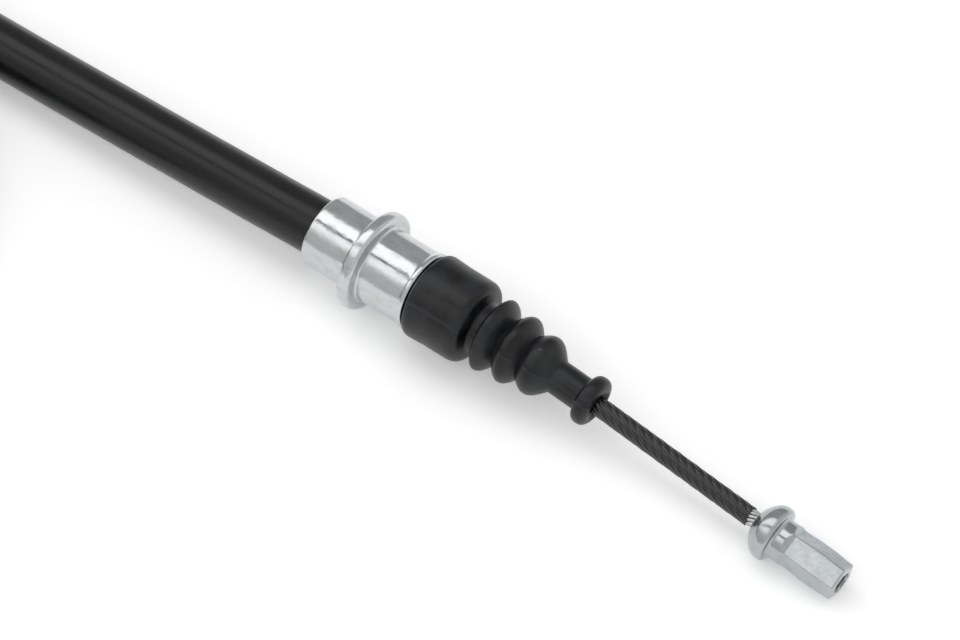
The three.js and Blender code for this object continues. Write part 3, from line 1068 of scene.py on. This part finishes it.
@dataclass
class Boot:
    """The bellows boot, one rubber moulding with a parting line."""

    end: NearEnd
    cuff_radius: float = 9.15
    cuff_taper: float = 0.15
    root_radius: float = 5.1
    crest_radii: Triple = (7.94, 7.44, 6.54)
    wall: float = 1.1
    crest_power: float = 0.56
    neck_radius: float = 3.57
    neck_bore: float = 2.32
    neck_setback: float = 4.1
    lip_radius: float = 5.37
    lip_half: float = 1.8
    seam_angle: float = 50.6
    seam_width: float = 0.2
    seam_height: float = 0.1
    seam_reach: float = 4.0
    seam_clear: float = 0.08
    groove_rear: float = 3.9
    groove_front: float = 5.7
    groove_depth: float = 0.6
    slope_points: int = 19
    sides: int = 128

    def roots(self) -> Triple:
        """Gives the stations of the three roots."""
        r = self.end.ridges
        return (self.end.cuff_front + r[0]) / 2, (r[0] + r[1]) / 2, (r[1] + r[2]) / 2

    def slope(self, ridge: float, crest: float, foot: float, base: float) -> list[Pair]:
        """Draws one side of a ridge.

        Args:
            ridge: Station of the crest.
            crest: Radius of the crest.
            foot: Station where the slope ends.
            base: Radius where the slope ends.

        Returns:
            Points from the crest to the foot.
        """
        share = np.linspace(0, 1, self.slope_points)
        height = ((1 + np.cos(math.pi * share)) / 2) ** self.crest_power
        reach, rise = foot - ridge, crest - base
        return [(ridge + reach * u, base + rise * h) for u, h in zip(share, height)]

    def outline(self) -> np.ndarray:
        """Draws the boot's half section.

        Returns:
            Rows of station and radius.
        """
        e = self.end
        inner = e.seat_radius + 0.1
        shoulder = self.cuff_radius - self.cuff_taper
        roots = self.roots()
        neck_start = e.ridges[2] + self.neck_setback
        o = Outline(e.boot_rear + 0.4, inner)
        o.curve((e.boot_rear, inner), (e.boot_rear, inner + 0.35), 4)
        cuff = self.cuff_radius + 0.05
        o.curve((e.boot_rear + 0.05, cuff), (e.boot_rear + 1.5, cuff), 12)
        o.line(e.boot_rear + 5, shoulder, 10)
        o.line(e.cuff_front - 2.6, shoulder, 12)
        o.curve((e.cuff_front - 0.15, shoulder - 0.05), (e.cuff_front, shoulder - 2.5), 14)
        o.line(e.cuff_front + 0.1, self.root_radius + 0.9, 8)
        o.curve((e.cuff_front + 0.15, self.root_radius), (roots[0] - 0.5, self.root_radius), 6)
        fronts = [roots[1], roots[2], neck_start]
        bases = [self.root_radius, self.root_radius, self.neck_radius]
        for ridge, crest, rear, front, base in zip(e.ridges, self.crest_radii, roots, fronts, bases):
            o.points += self.slope(ridge, crest, rear, self.root_radius)[::-1]
            o.points += self.slope(ridge, crest, front, base)[1:]
        lip_rear, lip_front = e.lip - self.lip_half, e.lip + self.lip_half
        o.line(lip_rear - 0.5, self.neck_radius, 12)
        o.curve((lip_rear, self.neck_radius), (lip_rear + 0.1, self.neck_radius + 0.6), 6)
        o.curve((lip_rear + 0.3, self.lip_radius), (e.lip, self.lip_radius), 10)
        o.curve((lip_front - 0.2, self.lip_radius), (lip_front, self.neck_radius), 12)
        o.curve((lip_front, self.neck_bore + 0.9), (lip_front - 0.9, self.neck_bore), 8)
        o.line(neck_start, self.neck_bore, 10)
        inner_knots = [
            (e.ridges[2], self.crest_radii[2] - self.wall),
            (roots[2], self.root_radius - self.wall - 0.1),
            (e.ridges[1], self.crest_radii[1] - self.wall),
            (roots[1], self.root_radius - self.wall),
            (e.ridges[0], self.crest_radii[0] - self.wall),
            (roots[0], self.root_radius - self.wall),
        ]
        o.wave(inner_knots, 8)
        o.line(e.seat_front + 0.3, self.root_radius - self.wall)
        o.line(e.seat_front + 0.3, inner)
        rib = inner - self.groove_depth
        rib_rear, rib_front = e.boot_rear + self.groove_rear, e.boot_rear + self.groove_front
        o.line(rib_front, inner).line(rib_front, rib)
        o.line(rib_rear, rib).line(rib_rear, inner)
        return o.array()

    def angles(self) -> np.ndarray:
        """Gives angles round the boot, close together at both parting lines.

        Returns:
            Rising angles in radians.
        """
        reach = math.radians(self.seam_reach)
        close = np.linspace(-reach, reach, 17)
        seams = [math.radians(self.seam_angle) + k * math.pi for k in (0, 1)]
        extra = np.concatenate([seam + close for seam in seams]) % (2 * math.pi)
        even = even_angles(self.sides)
        gaps = [np.abs((even - seam + math.pi) % (2 * math.pi) - math.pi) for seam in seams]
        far = even[np.minimum(*gaps) > self.seam_clear]
        return np.sort(np.concatenate([far, extra]))

    def build(self, finish: Shader) -> bpy.types.Object:
        """Makes the boot and bends it between the ferrule and the rope.

        Args:
            finish: Its material.

        Returns:
            The boot.
        """
        e = self.end
        outline = self.outline()
        angles = self.angles()
        rings = turned(outline, angles)
        seam = math.radians(self.seam_angle)
        off_seam = np.abs((angles - seam + math.pi / 2) % math.pi - math.pi / 2)
        arc = off_seam[None, :] * outline[:, 1:]
        outside = np.arange(len(outline)) < int(np.argmax(outline[:, 0]))
        flash = self.seam_height * np.exp(-((arc / self.seam_width) ** 2))
        scale = 1 + flash * outside[:, None] / outline[:, 1:]
        rings[..., 1:] *= scale[..., None]
        boot = skin("bellows_boot", e.place(rings), loop=True)
        finish.dress(boot)
        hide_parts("boot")
        start = e.axis.place(np.array([e.cuff_front - 0.5, 0, 0]))
        end = e.axis.place(np.array([e.ridges[2] + 3, 0, 0]))
        tuple(start)
        tuple(end)
        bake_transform(boot)
        LOG.info("boot")
        return boot


@dataclass
class Rope:
    """The coated rope: twelve bright outer wires and a black coating that shows their lay."""

    end: NearEnd
    wires: int = 12
    lobe_depth: float = 0.2
    flare: float = 0.08
    unevenness: float = 0.025
    ragged: float = 0.35
    coat_clearance: float = 0.08
    wire_spread: float = 0.02

    def lay_angle(self, station: np.ndarray) -> np.ndarray:
        """Gives how far the lay has turned at a station."""
        return 2 * math.pi * station / self.end.lay_length

    def wire(self, index: int) -> bpy.types.Object:
        """Makes one outer wire.

        Args:
            index: Its number, from 0.

        Returns:
            The wire.
        """
        e = self.end
        station = np.linspace(e.rope_tail, e.fitting_end - 1, 190)
        around = even_angles(10)
        radius = e.wire_radius + self.wire_spread
        side = np.broadcast_to(radius * np.sin(around), (len(station), len(around)))
        circle = e.wire_circle + self.flare * smooth_step((station - e.coat_end + 1.5) / 1.5)[:, None]
        up = circle + radius * np.cos(around)[None, :]
        turn = (self.lay_angle(station) + 2 * math.pi * index / self.wires)[:, None]
        rings = np.stack(
            [
                np.broadcast_to(station[:, None], side.shape),
                side * np.cos(turn) + up * np.sin(turn),
                -side * np.sin(turn) + up * np.cos(turn),
            ],
            axis=2,
        )
        return skin(f"wire_{index + 1:02d}", e.place(rings))

    def rag(self, around: np.ndarray, scale: float, level: float) -> np.ndarray:
        """Gives noise along a circle.

        Args:
            around: Angles in radians.
            scale: The circle's radius in the noise.
            level: The circle's height in the noise.

        Returns:
            One value for each angle.
        """
        spots = [Vector((math.cos(a) * scale, math.sin(a) * scale, level)) for a in around]
        return np.array([noise.noise(spot) for spot in spots])

    def coating(self) -> bpy.types.Object:
        """Makes the coating, with lobes over the wires and a ragged end.

        Returns:
            The coating.
        """
        e = self.end
        around = even_angles(144)
        station = np.linspace(e.rope_tail, e.coat_end, 240)
        turn = self.lay_angle(station)[:, None]
        phase = (around[None, :] + turn) * self.wires / 2
        lobes = 1 - np.abs(np.cos(phase))
        outer = e.coat_radius - self.lobe_depth * lobes
        outer += self.unevenness * np.sin(5 * (around[None, :] + turn) + 0.35 * station[:, None])
        inner = np.full_like(outer, e.wire_circle + e.wire_radius + self.coat_clearance)
        rag = self.rag(around, 3, 0.7) + 0.6 * self.rag(around, 9, 2.1)
        ease = smooth_step((station - (e.coat_end - 1.5)) / 1.5)[:, None]
        along = station[:, None] + self.ragged * rag[None, :] * ease
        along = np.broadcast_to(along, outer.shape)

        def rings(radius: np.ndarray) -> np.ndarray:
            """Turns radii into rings."""
            return np.stack([along, radius * np.sin(around), radius * np.cos(around)], axis=2)

        both = np.concatenate([rings(outer), rings(inner)[::-1]])
        return skin("rope_coating", e.place(both), loop=True)

    def build(self, wire_finish: Shader, coat_finish: Shader) -> None:
        """Makes the rope's pieces.

        Args:
            wire_finish: The wires' material.
            coat_finish: The coating's material.
        """
        for index in range(self.wires):
            wire = self.wire(index)
            wire_finish.dress(wire)
            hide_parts(f"rope_wire_{index + 1:02d}")
            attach(wire, Body.INNER_WIRE.value)
        coat = self.coating()
        coat_finish.dress(coat)
        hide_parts("wire_coating")
        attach(coat, Body.INNER_WIRE.value)
        LOG.info("rope with %d outer wires", self.wires)


@dataclass
class EndFitting:
    """The swaged end fitting: a domed head, a round neck and a six-sided crimped shank."""

    end: NearEnd
    bore: float = 1.93
    shank_radius: float = 4.28
    half_flats: float = 3.53
    hex_turn: float = 27.6
    head_back: float = 2.1
    neck_length: float = 2.2
    run_in: float = 1.8
    bulge: float = 0.22
    edge_round: float = 0.22
    die_gap: float = 0.25
    corner_push: float = 0.12
    sides: int = 192

    def outline(self) -> np.ndarray:
        """Draws the half section before the flats are pressed.

        Returns:
            Rows of station and radius.
        """
        e = self.end
        front = e.head + self.head_back * 0.62
        neck = e.head + self.head_back
        o = Outline(e.fitting_start + 0.25, self.bore)
        o.curve((e.fitting_start, self.bore), (e.fitting_start, self.bore + 0.35), 4)
        o.curve((e.fitting_start + 0.1, self.bore + 1.1), (e.fitting_start + 0.75, self.bore + 1.9), 8)
        o.curve((e.head - 1.75, e.head_radius), (e.head, e.head_radius), 18)
        o.curve((front, e.head_radius), (front, e.head_radius - 0.75), 10)
        o.curve((front + 0.05, self.shank_radius + 0.05), (neck, self.shank_radius), 10)
        o.line(e.fitting_end - 0.45, self.shank_radius, 70)
        o.curve((e.fitting_end, self.shank_radius), (e.fitting_end, self.shank_radius - 0.45), 8)
        o.line(e.fitting_end, self.bore + 0.4, 6)
        o.curve((e.fitting_end, self.bore), (e.fitting_end - 0.4, self.bore), 6)
        o.line(e.fitting_start + 2, self.bore, 4)
        return o.array()

    def build(self, finish: Shader) -> bpy.types.Object:
        """Makes the fitting.

        Args:
            finish: Its material.

        Returns:
            The fitting.
        """
        e = self.end
        outline = self.outline()
        angles = even_angles(self.sides)
        rings = turned(outline, angles)
        neck = e.head + self.head_back
        flat_start = neck + self.neck_length
        station = outline[:, :1]
        press = smooth_step((station - (flat_start - self.run_in * 0.6)) / self.run_in)
        length = e.fitting_end - flat_start
        swell = self.bulge * np.sin(np.clip((station - flat_start) / length, 0, 1) * math.pi) ** 2
        free = self.shank_radius + self.die_gap
        reach = free + (self.half_flats - free) * press + swell
        sixth = math.pi / 3
        from_flat = (angles - math.radians(self.hex_turn) + sixth / 2) % sixth - sixth / 2
        flats = reach / np.cos(from_flat)[None, :]
        drop = (outline[:, 1:] - self.shank_radius) * (station > neck)
        flats = flats + np.minimum(drop, 0)
        pushed = self.corner_push * press * (outline[:, 1:] > self.bore + 1)
        radius = np.broadcast_to(outline[:, 1:] + pushed, flats.shape)
        k = self.edge_round
        h = np.clip(0.5 + 0.5 * (flats - radius) / k, 0, 1)
        soft = flats * (1 - h) + radius * h - k * h * (1 - h)
        outer = (station > neck - 0.01) & (radius > self.bore + 0.6)
        radius = np.where(outer, soft, radius)
        rings[..., 1] = -radius * np.sin(angles)[None, :]
        rings[..., 2] = radius * np.cos(angles)[None, :]
        fitting = skin("domed_fitting", e.place(rings), loop=True)
        finish.dress(fitting)
        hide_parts("end_fitting")
        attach(fitting, Body.INNER_WIRE.value)
        LOG.info("end fitting")
        return fitting


# The far end and the ties


@dataclass
class FarEnd:
    """The plain far end: a ferrule, a coated rope and a barrel."""

    axis: Axis
    socket: Socket = Socket()
    sleeve_length: float = 19.0
    nose_length: float = 7.0
    nose_radius: float = 5.0
    sleeve_radius: float = 7.3
    rope_length: float = 40.0
    barrel_radius: float = 4.75
    barrel_length: float = 14.0
    barrel_round: float = 0.7
    barrel_bore: float = 1.93
    coat_radius: float = 2.02
    coat_bore: float = 1.82
    edge_round: float = 0.6
    rope_tail: float = 13.7
    bend_start: float = 4.0
    bend_end: float = 20.0
    lying_height: float = 7.5
    droop: Droop = field(init=False)

    def __post_init__(self) -> None:
        """Works out how far the rope droops until the barrel's end is at the floor."""
        seat = self.sleeve_length + self.nose_length
        start, end = seat + self.bend_start, seat + self.bend_end
        tip = seat + self.rope_length + self.barrel_length
        down = (self.lying_height - self.barrel_radius) / (tip - (start + end) / 2)
        self.droop = Droop(start, end, down, 0.0)

    def piece(
        self,
        name: str,
        outline: np.ndarray,
        node: str,
        body: Body,
        finish: Shader,
        bent: bool,
    ) -> bpy.types.Object:
        """Turns an outline and puts it in its node's place.

        Args:
            name: The new piece's name.
            outline: Its half section.
            node: The node that it replaces.
            body: The body that it rides on.
            finish: Its material.
            bent: Whether it follows the rope's droop.

        Returns:
            The piece.
        """
        rings = turned(outline, even_angles(64))
        if bent:
            rings = self.droop.bend(rings)
        made = skin(name, self.axis.place(rings), loop=True)
        finish.dress(made)
        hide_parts(node)
        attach(made, body.value)
        return made

    def sleeve_outline(self) -> np.ndarray:
        """Draws the ferrule's half section.

        Returns:
            Rows of station and radius.
        """
        seat = self.sleeve_length + self.nose_length
        edge, mouth = self.edge_round, self.socket.mouth
        o = Outline(0.3, mouth)
        o.curve((0, mouth), (0, mouth + 0.32), 4).line(0, self.sleeve_radius - edge)
        o.curve((0, self.sleeve_radius), (edge, self.sleeve_radius), 6)
        o.line(self.sleeve_length - edge, self.sleeve_radius, 8)
        corner = (self.sleeve_length, self.sleeve_radius)
        o.curve(corner, (self.sleeve_length, self.sleeve_radius - edge), 6)
        o.line(self.sleeve_length, self.nose_radius + 0.3, 2)
        root = (self.sleeve_length, self.nose_radius)
        o.curve(root, (self.sleeve_length + 0.3, self.nose_radius), 4)
        o.line(seat - edge, self.nose_radius, 6)
        o.curve((seat, self.nose_radius), (seat, self.nose_radius - edge), 6)
        self.socket.cut(o, seat)
        return o.array()

    def barrel_outline(self) -> np.ndarray:
        """Draws the barrel's half section.

        Returns:
            Rows of station and radius.
        """
        start = self.sleeve_length + self.nose_length + self.rope_length
        stop = start + self.barrel_length
        edge, bore = self.barrel_round, self.barrel_bore
        o = Outline(start, bore)
        o.line(start, self.barrel_radius - edge, 2)
        o.curve((start, self.barrel_radius), (start + edge, self.barrel_radius), 6)
        o.line(stop - edge, self.barrel_radius, 8)
        o.curve((stop, self.barrel_radius), (stop, self.barrel_radius - edge), 6)
        o.line(stop, bore + 0.27, 2).line(stop - 0.3, bore).line(start + 1, bore, 4)
        return o.array()

    def coating_outline(self) -> np.ndarray:
        """Draws the rope coating's half section.

        Returns:
            Rows of station and radius.
        """
        stop = self.sleeve_length + self.nose_length + self.rope_length - 0.3
        o = Outline(self.rope_tail, self.coat_radius)
        o.line(stop, self.coat_radius, 60).line(stop, self.coat_bore)
        o.line(self.rope_tail, self.coat_bore, 60)
        return o.array()

    def build(self, plate: Shader, forged: Shader, coat: Shader) -> list[bpy.types.Object]:
        """Makes the far end's visible pieces.

        Args:
            plate: The ferrule's material.
            forged: The barrel's material.
            coat: The coating's material.

        Returns:
            The new pieces.
        """
        sleeve = self.sleeve_outline()
        barrel = self.barrel_outline()
        coating = self.coating_outline()
        rope_body = Body.FAR_INNER_WIRE
        made = [
            self.piece("far_sleeve", sleeve, "far_ferrule", Body.CONDUIT, plate, False),
            self.piece("far_barrel", barrel, "far_end_fitting", rope_body, forged, True),
            self.piece("far_coating", coating, "far_wire_coating", rope_body, coat, True),
        ]
        LOG.info("far end")
        return made


@dataclass
class Tie:
    """A cable tie around two runs of the hank, with a locking head and a cut tail."""

    node: str
    thickness: float = 1.2
    width: float = 4.8
    half_height: float = 7.5
    band_edge: float = 0.25
    head_size: Triple = (6.4, 6.4, 4.2)
    head_edge: float = 0.7
    head_sink: float = 0.6
    tail_length: float = 3.8
    tail_edge: float = 0.3
    tail_sink: float = 0.8

    def band(self, centre: Vector, half_span: float) -> np.ndarray:
        """Gives the band's rings.

        Args:
            centre: The middle of the loop, in metres.
            half_span: Half its outer width, in millimetres.

        Returns:
            Rings around a closed loop.
        """
        r = self.half_height - self.thickness / 2
        flat = half_span - self.half_height
        path: list[Pair] = []
        for sign in (1, -1):
            for j in range(25):
                a = sign * math.pi / 2 - math.pi * j / 24
                path.append((sign * flat + r * math.cos(a), r * math.sin(a)))
        line = np.array(path)
        tangent = np.roll(line, -1, axis=0) - np.roll(line, 1, axis=0)
        tangent /= np.linalg.norm(tangent, axis=1)[:, None]
        normal = np.stack([tangent[:, 1], -tangent[:, 0]], axis=1)
        edge = self.band_edge
        corner_w, corner_t = self.width / 2 - edge, self.thickness / 2 - edge
        section = []
        for cx, cy, a0 in ((1, 1, 0), (-1, 1, 90), (-1, -1, 180), (1, -1, 270)):
            for j in range(4):
                a = math.radians(a0 + 30 * j)
                section.append((cx * corner_w + edge * math.cos(a), cy * corner_t + edge * math.sin(a)))
        rings = []
        for (y, z), (ny, nz) in zip(line, normal):
            rings.append([(w, y + t * ny, z + t * nz) for w, t in section])
        return np.array(rings) * MM + np.array(centre)

    def block(self, name: str, centre: Vector, size: Triple, edge: float) -> bpy.types.Object:
        """Makes a block with round edges.

        Args:
            name: The object's name.
            centre: Its middle, in metres.
            size: Its sides, in millimetres.
            edge: How far its edges are rounded, in millimetres.

        Returns:
            The block.
        """
        mesh = bpy.data.meshes.new(name)
        work = bmesh.new()
        bmesh.ops.create_cube(work, size=1.0)
        bmesh.ops.scale(work, vec=Vector(size) * MM, verts=work.verts)
        bmesh.ops.bevel(work, geom=work.edges[:], offset=edge * MM, segments=3, affect="EDGES")
        bmesh.ops.translate(work, vec=centre, verts=work.verts)
        work.to_mesh(mesh)
        work.free()
        block = bpy.data.objects.new(name, mesh)
        bpy.context.scene.collection.objects.link(block)
        mesh.polygons.foreach_set("use_smooth", [True] * len(mesh.polygons))
        mesh.set_sharp_from_angle(angle=SHARP_ANGLE)
        return block

    def build(self, finish: Shader) -> list[bpy.types.Object]:
        """Makes the tie's band, head and tail.

        Args:
            finish: Their material.

        Returns:
            The three pieces.
        """
        low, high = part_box(self.node)
        half_span = (high.y - low.y) / 2 / MM
        middle = Vector(((low.x + high.x) / 2, (low.y + high.y) / 2, 0))
        centre = middle + Vector((0, 0, self.half_height * MM))
        band = skin(f"{self.node}_band", self.band(centre, half_span), loop=True)
        top = 2 * self.half_height
        head_z = top + self.head_size[2] / 2 - self.head_sink
        head_centre = middle + Vector((0, 0, head_z * MM))
        head = self.block(f"{self.node}_head", head_centre, self.head_size, self.head_edge)
        tail_z = top + self.head_size[2] - self.tail_sink + self.tail_length / 2
        tail_centre = middle + Vector((0, -self.head_size[1] * MM / 4, tail_z * MM))
        tail_size = (self.width, self.thickness, self.tail_length)
        tail = self.block(f"{self.node}_tail", tail_centre, tail_size, self.tail_edge)
        for made in (band, head, tail):
            finish.dress(made)
            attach(made, Body.CONDUIT.value)
        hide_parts(self.node)
        LOG.info("%s", self.node)
        return [band, head, tail]


def dress_nodes(finishes: dict[str, Shader]) -> None:
    """Gives the carried-over inner nodes their materials.

    Args:
        finishes: A material for each node.
    """
    for name, finish in finishes.items():
        finish.dress(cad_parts[name])


def main() -> None:
    """Builds the scene in order."""
    logging.basicConfig(level=logging.INFO, format="%(message)s")
    near_axis, far_axis = Axis.of("ferrule"), Axis.of("far_ferrule")
    Studio().build(near_axis.rear)
    jacket = SatinPlastic("jacket_plastic").build()
    plain = {"line_depth": 0.0, "speck_share": 0.0}
    coat = SatinPlastic("coating_plastic", roughness=0.2, gloss=0.6, **plain).build()
    nylon = SatinPlastic("tie_nylon", roughness=0.5, **plain).build()
    rubber = MouldedRubber("boot_rubber").build()
    plate = ZincPlate("zinc_plate", near_axis.rear).build()
    far_plate = ZincPlate("far_zinc_plate", far_axis.rear).build()
    forged = SwagedSteel("swaged_steel").build()
    wire = BareSteel("bright_wire").build()
    strip = BareSteel("winding_strip", colour=(0.45, 0.45, 0.46), roughness=0.35).build()
    liner = PalePlastic("liner_plastic").build()
    conduit = Conduit(near_axis, far_axis)
    cord = conduit.build(jacket)
    near = NearEnd(near_axis)
    Ferrule(near).build(plate)
    Boot(near).build(rubber)
    Rope(near).build(wire, coat)
    EndFitting(near).build(forged)
    on_cord = FarEnd(far_axis).build(far_plate, forged, coat)
    for node in ("hank_tie_1", "hank_tie_2"):
        on_cord += Tie(node).build(nylon)
    conduit.declare()
    dress_nodes(
        {
            "jacket_end": jacket,
            "far_jacket_end": jacket,
            "steel_winding": strip,
            "far_steel_winding": strip,
            "liner": liner,
            "far_liner": liner,
            "rope_core": wire,
            "far_wire_rope": wire,
        }
    )


if __name__ == "__main__":
    main()
